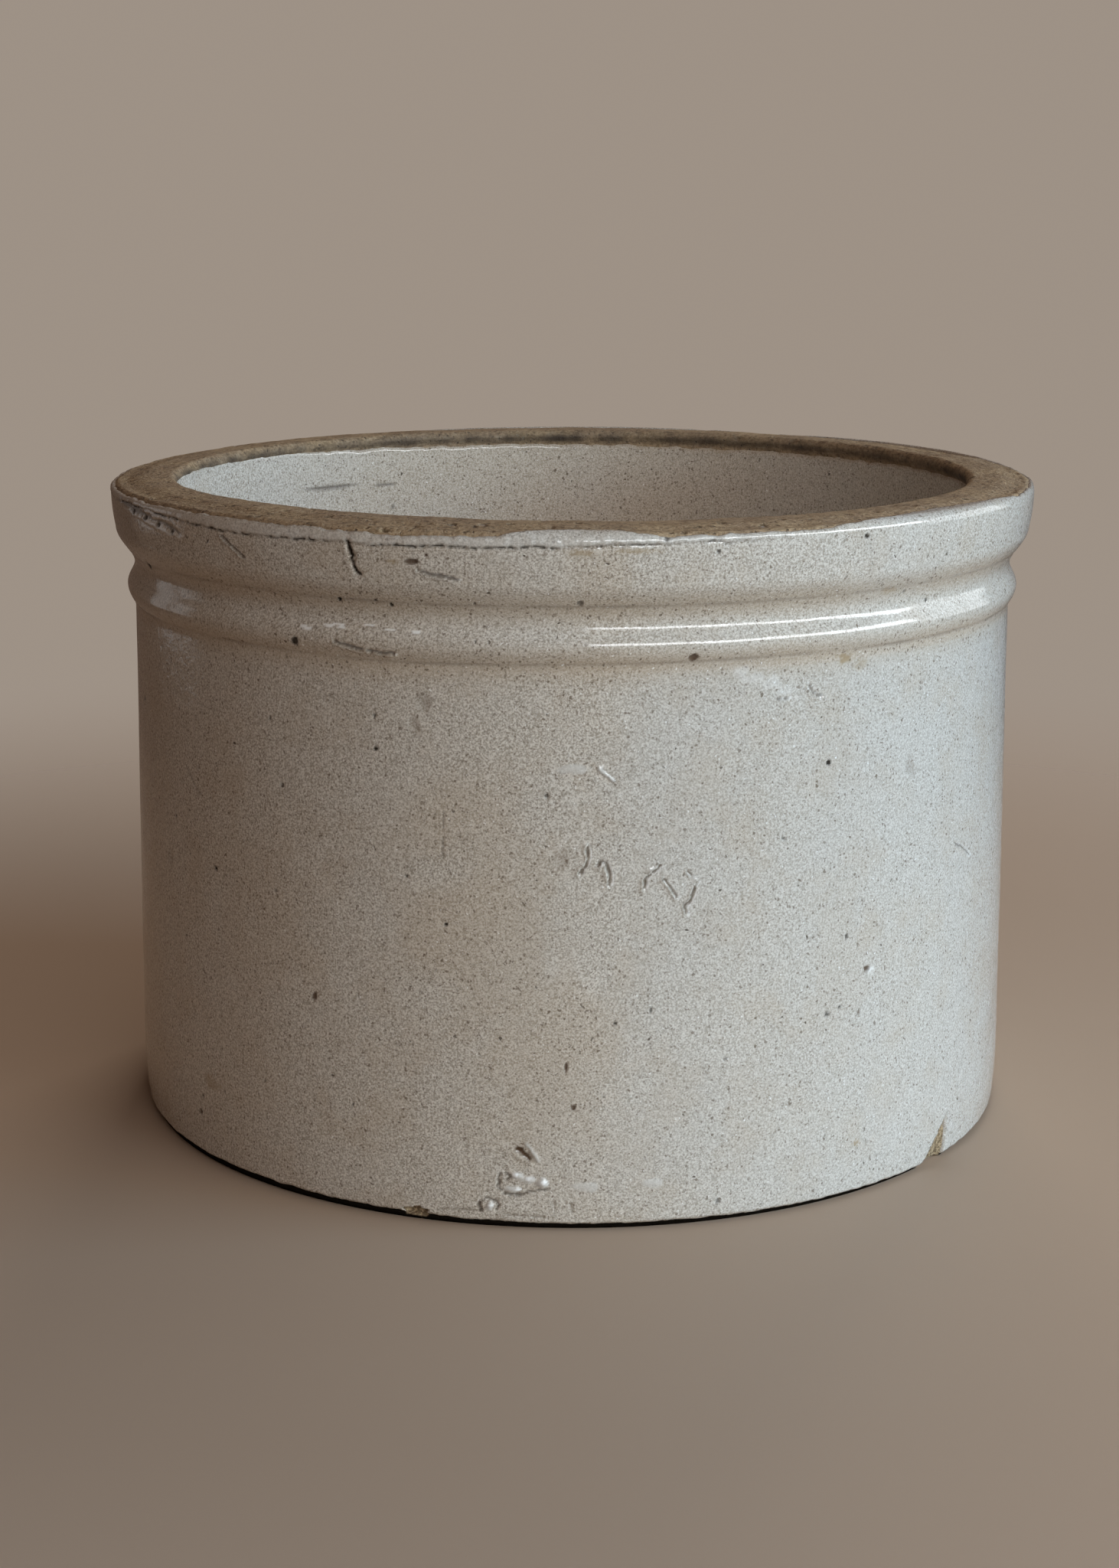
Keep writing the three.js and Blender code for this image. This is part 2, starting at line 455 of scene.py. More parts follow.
def scars(skin):
    """Cuts in the glaze, each a groove with a lip, painted shade down it and a painted highlight along
    one side.
    """
    cuts = [
        [(1.8, 106.8), (2, 104.2), (1.7, 101.8), (1, 99.4)],
        [(3, 101.4), (3.4, 102.6), (4, 102.2), (4.4, 99.6), (4.4, 95.9)],
        [(10.4, 101), (9.2, 98.8), (8.6, 97.6), (8.4, 94.8)], [(10.8, 97), (11.4, 95), (12.2, 92.2)],
        [(14.6, 96), (14.1, 92.6), (13.6, 90.4), (13.2, 89), (13.3, 86.8)],
        [(55.3, 93.2), (57.2, 91.4), (59.6, 87.8)], [(13.5, 99), (14, 97.8)],
        [(-42.4, 185.2), (-40.8, 182.8), (-39.2, 180.2)], [(24.2, 144.6), (24.9, 144.1), (25.6, 144.3)],
        [(28.6, 147.2), (29.2, 144.8), (30.4, 144)], [(-27.6, 159.6), (-24, 157.9), (-20.2, 157.4)],
        [(-16.6, 180.6), (-14.8, 179.4), (-12.2, 178.6)], [(118, 120), (119.5, 115), (119, 111.5)],
        [(203, 70), (206, 67.5), (206.5, 63)], [(151, 92), (152.2, 95), (151.8, 99.5)],
        [(262, 48), (264, 45), (267, 44)],
    ]
    painted_glint_side = 0.36
    for line in cuts:
        # Painted shade down the cut, and a darker core.
        groove(skin, line, 0.38, 0.6, 0.45, "shade", 1)
        groove(skin, line, 0.34, 0, 0, "dirt", 0.45)
        # Painted highlight: a white line beside the cut.
        painted_glint = [(bearing + painted_glint_side, z) for bearing, z in line]
        groove(skin, painted_glint, 0.24, 0, 0, "white", 0.6)


def folds(skin):
    """Single ridges and scars, each (line, width, depth, lip, mark, amount)."""
    lines = [
        ([(3.1, 127.9), (3.8, 126.6), (4.7, 124.9)], 0.6, -0.45, -0.3, "pale", 1),
        # Painted shade along the right side of the pale ridge above.
        ([(3.6, 127.6), (4.4, 126.2), (5.2, 124.4)], 0.3, 0.3, 0, "shade", 0.7),
        ([(-6.1, 21.8), (-5.6, 21.3), (-5.2, 20.2), (-4.8, 19.1)], 0.8, 0.5, 0.15, "rust", 1),
        ([(-4.9, 22.8), (-4.4, 21.4), (-4.1, 20.2), (-3.7, 18.6)], 0.5, -0.4, -0.2, "pale", 0.8),
        ([(-54.9, 115.6), (-52.9, 110.9), (-50.6, 108)], 0.28, 0.12, 0, "dirt", 0.55),
        ([(-14.6, 115), (-14.7, 102.6)], 0.28, 0.12, 0, "dirt", 0.55),
    ]
    for line, *how in lines:
        groove(skin, line, *how)
    dent(skin, -5.9, 21.7, 1.3, 1, 0.4, "rust", 1)


def cracks(skin):
    """Fine cracks along the foot and round the glaze lumps above it."""
    along_foot = [
        [(-15.8, 1.9), (-14.2, 2.8), (-12, 3), (-10.4, 3.4)],
        [(-8.2, 2.6), (-6, 2), (-3, 1.9)],
        [(-1.9, 6.4), (-1.8, 3.2)],
        [(0.1, 6), (0.3, 3.4)],
    ]
    for line in along_foot:
        groove(skin, line, 0.36, 0.3, 0.15, "shade", 0.8)
    round_lumps = [
        [(-8, 14.2), (-8.5, 13), (-8.1, 11.6), (-8.5, 10.4), (-8, 9.6)],
        [(-7.4, 14.6), (-6.9, 13.6), (-7.3, 12.6)],
        [(-7.8, 8.6), (-5.8, 8.4), (-4.4, 9.6), (-2.4, 10.2)],
        [(-10.6, 3.4), (-10.7, 5.2), (-9.9, 6.8), (-8.7, 6.2), (-8.2, 4.8), (-8.6, 3.6)],
    ]
    for line in round_lumps:
        groove(skin, line, 0.4, 0.45, 0.15, "dirt", 0.75)


def blisters(skin):
    """Smeared, bubbled and lumpy glaze, painted highlights on its lumps and on the bead, and painted
    shade in hollows.
    """
    smear = [
        (19.6, 152.2, 2.6, 1.6), (21.4, 150.6, 3.4, 1.6), (23.6, 148.6, 3, 1.8), (25.6, 146.4, 2.4, 1.4),
    ]
    for n, (bearing, z, across, up) in enumerate(smear):
        dent(skin, bearing, z, across, up, -0.1, "white", 0.2, n)
    glaze_lumps = [
        (-6.1, 13.9, 2.4, 1.3, 0.6), (-3.2, 12, 1.9, 1.4, 0.8), (-4.7, 12.9, 2, 1.1, 0.5),
        (-6.6, 9.8, 2.6, 0.9, 0.5), (-9.4, 4.8, 1.2, 1.5, 0.6),
    ]
    for n, (bearing, z, across, up, height) in enumerate(glaze_lumps):
        dent(skin, bearing, z, across, up, -height, "pale", 0.85, 10 + n)
    # Painted highlights on the lumps' tops.
    painted_lump_highlights = [(-6.3, 14.4), (-4.9, 13.3), (-3, 12.4), (-6, 10.1), (-9.2, 5)]
    dents(skin, painted_lump_highlights, 0.9, 0.5, -0.15, "white", 1, 30)
    # Painted highlights: small bright dashes on the bead, where no reflection falls.
    painted_bead_glints = [
        (-31.9, 162.4), (-31.2, 162), (-28.4, 163.2), (-27.4, 163.8), (-26.8, 163.1), (-23.4, 164.2),
        (-20.6, 163.4), (-17.5, 163.2),
    ]
    dents(skin, painted_bead_glints, 1.7, 0.4, -0.14, "white", 0.85, 40)
    dents(skin, [(2, 11), (9.7, 11.5), (0.2, 128)], 3.4, 1.5, -0.18, "pale", 0.6, 20)
    # Hollows with painted shade in them.
    hollows = [(-16.9, 144.1), (-18.1, 137.5), (-1.2, 103), (45, 120), (160, 60), (232, 118), (300, 86)]
    dents(skin, hollows, 2.2, 3, 0.3, "shade", 0.35, 30)


def pinholes(skin):
    """Round holes burnt through the glaze at the front, black ones and broader brown ones."""
    holes = [
        (-37.9, 135.5, 0.8), (-23, 139.8, 0.9), (-22.8, 131.1, 1), (-36, 117.4, 1),
        (-58.1, 99.5, 0.7), (-48.2, 88.5, 0.9), (-37.3, 87.2, 0.8), (-19.1, 96.7, 0.8),
        (-14.4, 83.9, 0.9), (25.4, 105.9, 0.9), (34.5, 75.4, 1.1), (5.2, 57.4, 1),
        (18.4, 45.6, 0.8), (9.3, 61.1, 0.8), (33.8, 55.4, 0.8),
        (17.7, 4.4, 1.2), (-26.3, 29.5, 0.7), (31.4, 125.4, 1.3), (10.1, 189.4, 1.2), (15.8, 185.7, 0.9),
        (34.1, 187.4, 1), (42.4, 170, 1.1), (47.1, 166.2, 0.8), (-27, 170.9, 1.1), (1, 172.4, 1.4),
        (-22.3, 171.5, 0.8), (-20.5, 170.5, 0.9), (-10.7, 171.9, 0.7), (-64.3, 170.6, 2.4),
        (-29.4, 187, 0.8),
    ]
    for n, (bearing, z, radius) in enumerate(holes):
        tone = 0.65 + 0.3 * (n % 3) / 2
        dent(skin, bearing, z, 0.7 * radius, 0.75 * radius, 0.4, "black", tone, 60 + n)
    browns = [
        (13.7, 157.3, 1.7, 1.5), (-17.2, 182.9, 2.2, 1), (-0.5, 45.2, 0.8, 1.8), (0.4, 33.9, 1, 1.1),
        (37.8, 64.8, 1.6, 1.4), (-31.6, 58.7, 1.1, 1.6), (-53, 12.8, 1.2, 1.2), (-15.6, 184.6, 0.8, 0.6),
    ]
    for n, (bearing, z, across, up) in enumerate(browns):
        dent(skin, bearing, z, 0.8 * across, 0.8 * up, 0.6, "rust", 0.9, 100 + n)
    dent(skin, -33.2, 158.5, 1.3, 1.3, 0.35, "black", 0.9)
    dent(skin, -33.2, 158.5, 0.7, 0.7, -0.3)


def stray_pinholes(skin):
    """Small holes all round, most of them on the back and sides."""
    chance = np.random.default_rng(12)
    for n in range(90):
        bearing = chance.uniform(70, 290) if n < 60 else chance.uniform(-180, 180)
        z = chance.uniform(8, 184)
        radius = chance.choice([0.4, 0.5, 0.65, 0.9], p=[0.4, 0.3, 0.2, 0.1])
        tone = "rust" if chance.random() < 0.2 else "black"
        amount = chance.uniform(0.5, 0.95)
        dent(skin, bearing, z, radius, radius, 0.4, tone, amount, 200 + n)


def stains(skin):
    """Places where the clay shows through thin glaze, and painted shade on the left of the flange and
    wall.
    """
    clouds = [
        ("warm", -11, 82, 34, 52, 0.55, 31), ("warm", -2, 44, 24, 30, 0.45, 32),
        ("warm", -42, 60, 22, 60, 0.35, 33), ("warm", 34, 70, 12, 40, 0.25, 34),
        # Painted shade: these two clouds darken the left of the flange and the wall, away from the light.
        ("shade", -70, 182, 26, 9, 0.45, 35), ("shade", -78, 90, 16, 90, 0.25, 36),
        ("tan", 33.4, 153.8, 3.2, 1.8, 0.85, 1), ("tan", 36, 151.4, 3.2, 2.2, 0.4, 2),
        ("tan", 1, 186, 4.4, 1, 0.6, 3), ("tan", 6.8, 186.4, 7.4, 1, 0.6, 4),
        ("tan", -19.5, 182.6, 2.2, 0.7, 0.7, 5), ("tan", 39.5, 171, 4, 1.6, 0.5, 6),
        ("tan", 36.7, 13.9, 1.8, 1.3, 0.7, 7), ("white", 38.6, 64.4, 1.6, 1.4, 0.7, 21),
        ("tan", 95, 140, 5, 3, 0.5, 10), ("tan", 140, 30, 5, 3, 0.5, 11),
        ("tan", 176, 118, 5, 3, 0.5, 12), ("tan", 218, 150, 5, 3, 0.5, 13),
        ("tan", 255, 90, 5, 3, 0.5, 14), ("tan", 310, 24, 5, 3, 0.5, 15),
    ]
    for cloud in clouds:
        patch(skin, *cloud)


def flaky_rim(skin):
    """A run of flaked-off glaze low on the left of the rim, dark where it broke and pale below."""
    dark = [(-68, 188.6), (-64.5, 187.8), (-61, 187.2), (-57, 186.4), (-53.5, 185.4), (-51, 184.4)]
    pale = [(-67, 187), (-64, 186.4), (-60, 185.6), (-56.5, 184.6), (-53, 183.2), (-50.5, 183)]
    groove(skin, dark, 0.7, 0.4, -0.15, "dirt", 0.6)
    groove(skin, pale, 0.5, -0.25, 0, "pale", 0.9)
    holes = [(-63, 186.7), (-59, 186), (-55.5, 185), (-52.2, 184)]
    dents(skin, holes, 1.2, 0.8, 0.5, "black", 0.8, 90)


def glaze_thickness(cover, roll_height, slope=1.2, deepest=0.5):
    """Full in the middle, swollen near the edge, and sunk into the clay where cover is below 0."""
    body = coat * (1 - np.exp(-np.clip(cover, 0, None) / edge_slope))
    roll = roll_height * mm * bell(cover - roll_at, roll_width)
    return np.where(cover > 0, body + roll, np.clip(cover * slope, -deepest * mm, 0))


def outside_cover(skin, chips, at_foot):
    """How far each grid point is inside the glazed area; negative where the clay is bare."""
    to_rim = rim_edge_of_glaze(skin) - skin.along[:, None]
    low = skin.around([-180, -70, -45, -20, -5, 5, 30, 60, 110, 180],
                      [1.7, 1.7, 2.4, 2.1, 1.8, 1.5, 1.2, 0.9, 1.2, 1.7])
    to_foot = skin.along[:, None] - skin.along_at(low * mm)
    ragged = np.where(at_foot, 0.25, 0.5) * mm * rough(skin.rest, 3.2, 13, 3)
    return np.minimum(np.minimum(to_rim, to_foot) + ragged, 1.2 * mm - 6 * chips)


def coarse_rows(kept, every):
    """Rows for the glaze's unseen back, last first: the kept ones and one in every few."""
    return np.flatnonzero(kept | (np.arange(len(kept)) % every == 0))[::-1]


def make_outside():
    """The outside glaze, closed by a coarser back face that lies inside the clay."""
    rim_flat = flat((rim_radius - rim_round, rim_height), (rim_radius - 14.5 * mm, rim_height), 0.5 * mm)
    skin = Skin(np.concatenate([outside_section(0.3 * mm), rim_flat]), bearings())
    clay = turned_by_hand(skin) - coat
    chips = outside_chips(skin)
    at_foot = skin.height < 4 * mm
    cover = outside_cover(skin, chips, at_foot)
    for feature in (gloss, calm_and_cool_light, creases, ledge, rim_crack, scars, folds, cracks, blisters, pinholes,
                    stray_pinholes, stains, flaky_rim):
        feature(skin)
    skin.raised = np.maximum(skin.raised, -0.85 * coat)
    thick = glaze_thickness(cover, 0.16, np.where(at_foot, 6, 1.2), np.where(at_foot, 1.2, 0.5))
    # Painted shadow: the gap under the glaze's edge at the foot is painted black.
    skin.mark("black", smooth(-cover / (0.2 * mm)) * at_foot)
    skin.mark("edge", smooth(1 - cover / edge_band))
    chipped = np.clip(chips / (0.3 * mm), 0, 1)
    skin.raised = clay - chips + thick + skin.raised * (1 - chipped) * (cover > 0)
    coarse = coarse_rows((skin.section[:, 1] < 14 * mm) | (skin.section[:, 1] > 182 * mm), 8)
    front = skin.points(skin.raised)
    back = skin.points(clay - chips - coat_back)[coarse]
    return grid_mesh("crock_glaze_outside", np.concatenate([front, back]), skin.marks)


# ---- inside of the crock

def inner_swell(skin):
    """The slow swells and throwing rings of the inside, followed by both clay and glaze."""
    rings = rough(skin.rest * [0.2, 0.2, 1], 7, 93)
    return mm * (0.12 * rough(skin.rest, 30, 91) + 0.05 * rings)


def inside_cover(skin):
    """How far each grid point is below the ragged upper edge of the inside glaze."""
    below_rim = skin.along[:, None] + (rim_height - skin.section[0, 1])
    ragged = 0.45 * mm * rough(skin.rest, 3, 83, 3) + 0.5 * mm * rough(skin.rest, 18, 87)
    drop = skin.around([-180, -150, -120, -90, -50, 0, 90, 130, 180],
                       [1, 0.9, 0.5, 0.45, 0.5, 0.6, 0.8, 1, 1])
    return below_rim - glaze_drop * drop + ragged


def dark_streaks(skin):
    """Short level streaks and a burnt spot high on the inside, in shallow hollows."""
    streaks = [
        (-137, 175.6, 17, 0.6), (-147.6, 175.4, 7, 0.5), (-149, 167.2, 0.9, 0.9), (-100, 150, 6, 0.5),
    ]
    for bearing, z, across, up in streaks:
        along = skin.along[0] + skin.section[0, 1] - mark_base - z * mm
        where, u, v = skin.near(bearing, along, 20 * mm)
        bowl = np.clip(1 - (u / (across * mm)) ** 2 - (v / (up * mm)) ** 2, 0, 1)
        skin.raised[where] -= 0.25 * mm * bowl
        skin.mark("dirt", np.clip(1.5 * bowl, 0, 0.8), where)


def make_inside():
    """The inside glaze: a thin closed cup from just under the rim down to the floor."""
    section = inside_section(rim_height - lip_round, 0.8 * mm, 2.2 * mm)
    skin = Skin(section, np.arange(-180, 180, 0.5))
    cover = inside_cover(skin)
    thick = glaze_thickness(cover, 0.3)
    dark_streaks(skin)
    skin.mark("edge", smooth(1 - cover / edge_band))
    # Painted shade: the inside wall toward the back right, facing away from the light, is tinted warmer
    # and darker.
    turn = np.cos(np.radians(skin.bearings - 170))[None, :]
    skin.mark("warm", 0.62 * smooth(1.5 * turn - 0.2))
    base = inner_swell(skin) - coat
    front = skin.points(base + thick + skin.raised * (cover > 0))
    coarse = coarse_rows(np.arange(len(skin.along)) < 6, 6)
    back = skin.points(base - coat_back)[coarse]
    marks = {key: np.concatenate([layer[coarse] * 0, layer]) for key, layer in skin.marks.items()}
    ends = [(0, 0, floor_height - coat - coat_back), (0, 0, floor_height)]
    return grid_mesh("crock_glaze_inside", np.concatenate([back, front]), marks, ends)


# ---- the clay body

def clay_section():
    """The clay's section from the underside round to the inside floor, and the rows where the outside
    wall, the rim's flat, the lip and the inside start."""
    under = flat((4 * mm, 0), (foot_in, 0), 3 * mm)
    bevel = flat((foot_in, 0), (outside_radius(foot_bevel), foot_bevel), 0.5 * mm)
    outside = outside_section(foot_bevel, 2)
    lip_centre = (mouth_radius + lip_round, rim_height - lip_round)
    rim = flat((rim_radius - rim_round, rim_height), (lip_centre[0], rim_height), 0.55 * mm)
    lip = arc(lip_centre, lip_round, 90, 180, 0.5 * mm)
    inside = inside_section(rim_height - lip_round, 0.8 * mm, 6 * mm)
    starts = np.cumsum([len(under) + len(bevel), len(outside), len(rim), len(lip)])
    return np.concatenate([under, bevel, outside, rim, lip, inside]), starts


def clay_chips(skin, wall_row, rim_row):
    """The outside's chips on the clay's own grid, carried on under the foot."""
    chips = np.zeros(skin.raised.shape)
    outside = Skin(skin.section[wall_row:rim_row], skin.bearings)
    chips[wall_row:rim_row] = outside_chips(outside)
    near_edge = skin.section[:wall_row, :1] - (rim_radius - 9 * mm)
    chips[:wall_row] = chips[wall_row] * smooth(near_edge / (2 * mm))
    return chips


def rim_pits(skin, rim_middle):
    """Small pits with dirt in them, scattered over the bare rim."""
    chance = np.random.default_rng(5)
    for _ in range(420):
        radius = chance.choice([0.5, 0.8, 1.3], p=[0.5, 0.35, 0.15]) * mm
        bearing = chance.uniform(-180, 180)
        where, u, v = skin.near(bearing, rim_middle + chance.uniform(-9, 11) * mm, 3 * radius)
        bowl = np.clip(1 - (u**2 + v**2) / radius**2, 0, 1)
        skin.raised[where] -= 0.4 * radius * bowl
        skin.mark("dirt", chance.uniform(0.3, 0.9) * np.clip(2 * bowl, 0, 1), where)


def make_clay():
    """The fired clay: bare on the rim, the foot and the underside, and in the chips."""
    section, (wall_row, rim_row, lip_row, inside_row) = clay_section()
    skin = Skin(section, bearings())
    chips = clay_chips(skin, wall_row, rim_row)
    grit = 0.05 * rough(skin.rest, 2.2, 61) + 0.05 * rough(skin.rest, 6, 67)
    worn = 0.18 * rough(skin.rest, 14, 71, 3) * (skin.height > rim_height - 6 * mm)
    underside = skin.height < 1e-6
    inner = (np.arange(len(skin.along)) >= inside_row)[:, None]
    body = np.where(inner, inner_swell(skin) + crown(skin), turned_by_hand(skin)) - coat
    skin.raised = np.where(underside, -0.1 * mm, body) - chips + mm * (grit * ~underside + worn)
    rim_pits(skin, skin.along[rim_row] + 7 * mm)
    # A darker band on the clay a little way down inside the lip.
    from_lip = skin.along[:, None] - skin.along[lip_row] - 3.4 * mm
    skin.mark("dirt", bell(from_lip, 1.6 * mm) * (0.75 + 0.5 * rough(skin.rest, 7, 73)))
    chipped = np.clip(chips / (0.15 * mm), 0, 1)
    skin.mark("chip", chipped)
    # Painted shadow: the clay below 3.4 mm, under the glaze's edge, is painted near-black.
    skin.mark("foot", smooth((3.4 * mm - skin.height) / (0.5 * mm)) * (1 - chipped))
    ends = [(0, 0, 0.1 * mm), (0, 0, floor_height - coat)]
    return grid_mesh("crock_clay", skin.points(skin.raised), skin.marks, ends)


# ---- weight stones

def make_stone(name, node):
    """The CAD stone remeshed finely and made as uneven as a hand-cut slab."""
    piece = add_object(name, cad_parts[node].data.copy())
    remesh = piece.modifiers.new("fine", "REMESH")
    remesh.mode = "VOXEL"
    remesh.voxel_size = 1.1 * mm
    soften = piece.modifiers.new("soften", "SMOOTH")
    soften.iterations = 6
    evaluated = piece.evaluated_get(bpy.context.evaluated_depsgraph_get())
    mesh = bpy.data.meshes.new_from_object(evaluated)
    piece.modifiers.clear()
    piece.data = mesh
    points, normals = np.zeros((2, len(mesh.vertices), 3))
    mesh.vertices.foreach_get("co", points.ravel())
    mesh.vertices.foreach_get("normal", normals.ravel())
    under = smooth((points[:, 2] - floor_height) / (4 * mm))
    seed = 300 + len(name)
    raised = 0.3 * rough(points, 28, seed) + 0.1 * rough(points, 7, seed + 3, 3) - 0.25
    chance = np.random.default_rng(seed)
    worn = np.zeros(len(points))
    for _ in range(70):
        centre = points[chance.integers(len(points))]
        radius = chance.choice([0.8, 1.2, 2.0], p=[0.6, 0.3, 0.1]) * mm
        bowl = np.clip(1 - np.sum((points - centre) ** 2, 1) / radius**2, 0, 1)
        raised -= 0.45 * radius / mm * bowl
        worn = np.maximum(worn, np.clip(2 * bowl, 0, 0.9))
    points += normals * (raised * mm * (0.3 + 0.7 * under))[:, None]
    mesh.vertices.foreach_set("co", points.ravel())
    mesh.attributes.new("dirt", "FLOAT", "POINT").data.foreach_set("value", worn.astype(np.float32))
    mesh.update()
    mesh.materials.clear()
    mesh.shade_smooth()
    return piece


# ---- materials

class Shader:
    """A node material under construction; its methods add nodes and return an output socket. Sizes and
    bump distances are in millimetres."""

    def __init__(self, name):
        self.material = bpy.data.materials.new(name)
        self.material.use_nodes = True
        self.tree = self.material.node_tree
        self.tree.nodes.clear()
        self.place = self.node("TexCoord").outputs["Object"]

    def feed(self, socket, value):
        if isinstance(value, bpy.types.NodeSocket):
            self.tree.links.new(value, socket)
        elif socket.type == "RGBA":
            socket.default_value = (*value, 1)
        else:
            socket.default_value = value

    def node(self, kind, inputs=None, **settings):
        made = self.tree.nodes.new("ShaderNode" + kind)
        for key, value in settings.items():
            setattr(made, key, value)
        for key, value in (inputs or {}).items():
            self.feed(made.inputs[key], value)
        return made

    def noise(self, size, detail, roughness, place=None):
        inputs = {"Vector": place or self.place, "Scale": 1 / (size * mm)}
        inputs.update(Detail=detail, Roughness=roughness)
        return self.node("TexNoise", inputs).outputs[0]

    def calc(self, operation, a, b=0.0):
        return self.node("Math", {0: a, 1: b}, operation=operation).outputs[0]

    def times(self, a, b):
        return self.calc("MULTIPLY", a, b)

    def rest_of(self, value, amount=1.0):
        """What is left of 1 after value times amount is taken off."""
        return self.calc("SUBTRACT", 1.0, self.times(value, amount))

    def fit(self, value, low, high, to_low=0.0, to_high=1.0):
        inputs = dict(enumerate((value, low, high, to_low, to_high)))
        return self.node("MapRange", inputs, interpolation_type="SMOOTHSTEP").outputs[0]

    def mix(self, share, a, b, blend="MIX"):
        return self.node("Mix", {0: share, 6: a, 7: b}, data_type="RGBA", blend_type=blend).outputs[2]

    def mark(self, name):
        return self.node("Attribute", attribute_name=name).outputs["Fac"]

    def lay(self, colour, tints):
        """Covers colour where each mark is, by (mark, strength, colour of the mark)."""
        for name, strength, tint in tints:
            colour = self.mix(self.times(self.mark(name), strength), colour, tint)
        return colour

    def warped(self, size, amount):
        """The object's coordinates pushed about by noise, so that specks are not round."""
        push = self.node("TexNoise", {"Vector": self.place, "Scale": 1 / (size * mm), "Detail": 1.0})
        kind = "VectorMath"
        centred = self.node(kind, {0: push.outputs["Color"], 1: (0.5,) * 3}, operation="SUBTRACT")
        scaled = self.node(kind, {0: centred.outputs[0], "Scale": amount * mm}, operation="SCALE")
        return self.node(kind, {0: self.place, 1: scaled.outputs[0]}).outputs[0]

    def turned(self, stretch):
        """Coordinates that follow the wheel: distance round times stretch, distance out, height."""
        parts = self.node("SeparateXYZ", {0: self.place}).outputs
        angle = self.calc("ARCTAN2", parts[0], self.times(parts[1], -1.0))
        squares = self.calc("ADD", self.calc("POWER", parts[0], 2), self.calc("POWER", parts[1], 2))
        around = self.times(angle, stretch * rim_radius)
        out = self.calc("SQRT", squares)
        return self.node("CombineXYZ", {0: around, 1: out, 2: parts[2]}).outputs[0]

    def specks(self, size, share, spread, soft=0.12):
        """Uneven dots: size is their spacing, share how many places hold one, spread the largest."""
        place = self.warped(size * 0.7, size * 0.9)
        cells = self.node("TexVoronoi", {"Vector": place, "Scale": 1 / (size * mm)}).outputs
        chance = self.node("SeparateColor", {0: cells["Color"]}).outputs
        radius = self.fit(chance[0], 1 - share, 1, 0, spread)
        inside = self.calc("SUBTRACT", radius, cells["Distance"])
        return self.fit(inside, -0.02, soft), chance[1]

    def bump(self, height, distance, normal=None):
        inputs = {"Height": height, "Distance": distance * mm, "Strength": 1.0}
        if normal:
            inputs["Normal"] = normal
        return self.node("Bump", inputs).outputs[0]

    def output(self, surface):
        self.tree.links.new(surface.outputs[0], self.node("OutputMaterial").inputs["Surface"])
        return self.material

    def finish(self, **inputs):
        inputs = {key.replace("_", " "): value for key, value in inputs.items()}
        return self.output(self.node("BsdfPrincipled", inputs))


def glaze_colour(s, dark, dark_tone):
    """Grain, warm and cool clouds, iron specks, painted sparkle and a painted cool tint; dark and
    dark_tone are the largest specks.
    """
    calm_and_cool_light_share = s.mark("calm_and_cool_light")
    weaker = s.times(calm_and_cool_light_share, 0.17)
    grain = s.fit(s.noise(0.58, 2, 0.75), 0.35, 0.65, weaker, s.rest_of(weaker))
    colour = s.mix(grain, (0.37, 0.32, 0.26), (0.75, 0.7, 0.625))
    warm_clouds = s.fit(s.noise(17, 3, 0.6), 0.42, 0.72, 0, 0.28)
    # The warm mark is partly painted shade: round the creases and on the inside's far right.
    warmth = s.calc("MAXIMUM", warm_clouds, s.times(s.mark("warm"), 0.6))
    colour = s.mix(warmth, colour, (0.475, 0.37, 0.26))
    cool_clouds = s.fit(s.noise(42, 2, 0.5), 0.35, 0.7, 0, 0.12)
    colour = s.mix(cool_clouds, colour, (0.6, 0.6, 0.58))
    pepper = s.fit(s.noise(0.85, 3, 0.75), 0.585, 0.665)
    crowd = s.fit(s.noise(11, 2, 0.6), 0.35, 0.65, 0.3, 0.75)
    crowd = s.times(s.calc("ADD", crowd, s.times(warmth, 0.4)), s.rest_of(calm_and_cool_light_share, 0.4))
    iron = (0.14, 0.1, 0.068)
    colour = s.mix(s.times(pepper, crowd), colour, iron)
    for size, share, spread, depth in ((0.95, 0.8, 0.4, 0.8), (1.45, 0.6, 0.32, 0.9)):
        spots, tone = s.specks(size, share, spread, 0.07)
        strength = s.times(s.fit(tone, 0, 1, 0.15, depth), s.calc("ADD", 0.78, s.times(warmth, 0.4)))
        colour = s.mix(s.times(spots, strength), colour, iron)
    colour = s.mix(s.times(dark, s.fit(dark_tone, 0, 1, 0.3, 0.9)), colour, (0.08, 0.058, 0.04))
    # Painted highlights: tiny near-white specks for the sparkle of the orange-peel gloss.
    painted_sparkle, _ = s.specks(1.2, 0.45, 0.2, 0.06)
    colour = s.mix(s.times(painted_sparkle, 0.8), colour, (0.92, 0.9, 0.86))
    # Painted light: where the calm mark is, the colour is tinted cool for the cool daylight from the
    # right.
    return s.mix(calm_and_cool_light_share, colour, (0.97, 1.01, 1.055), "MULTIPLY")


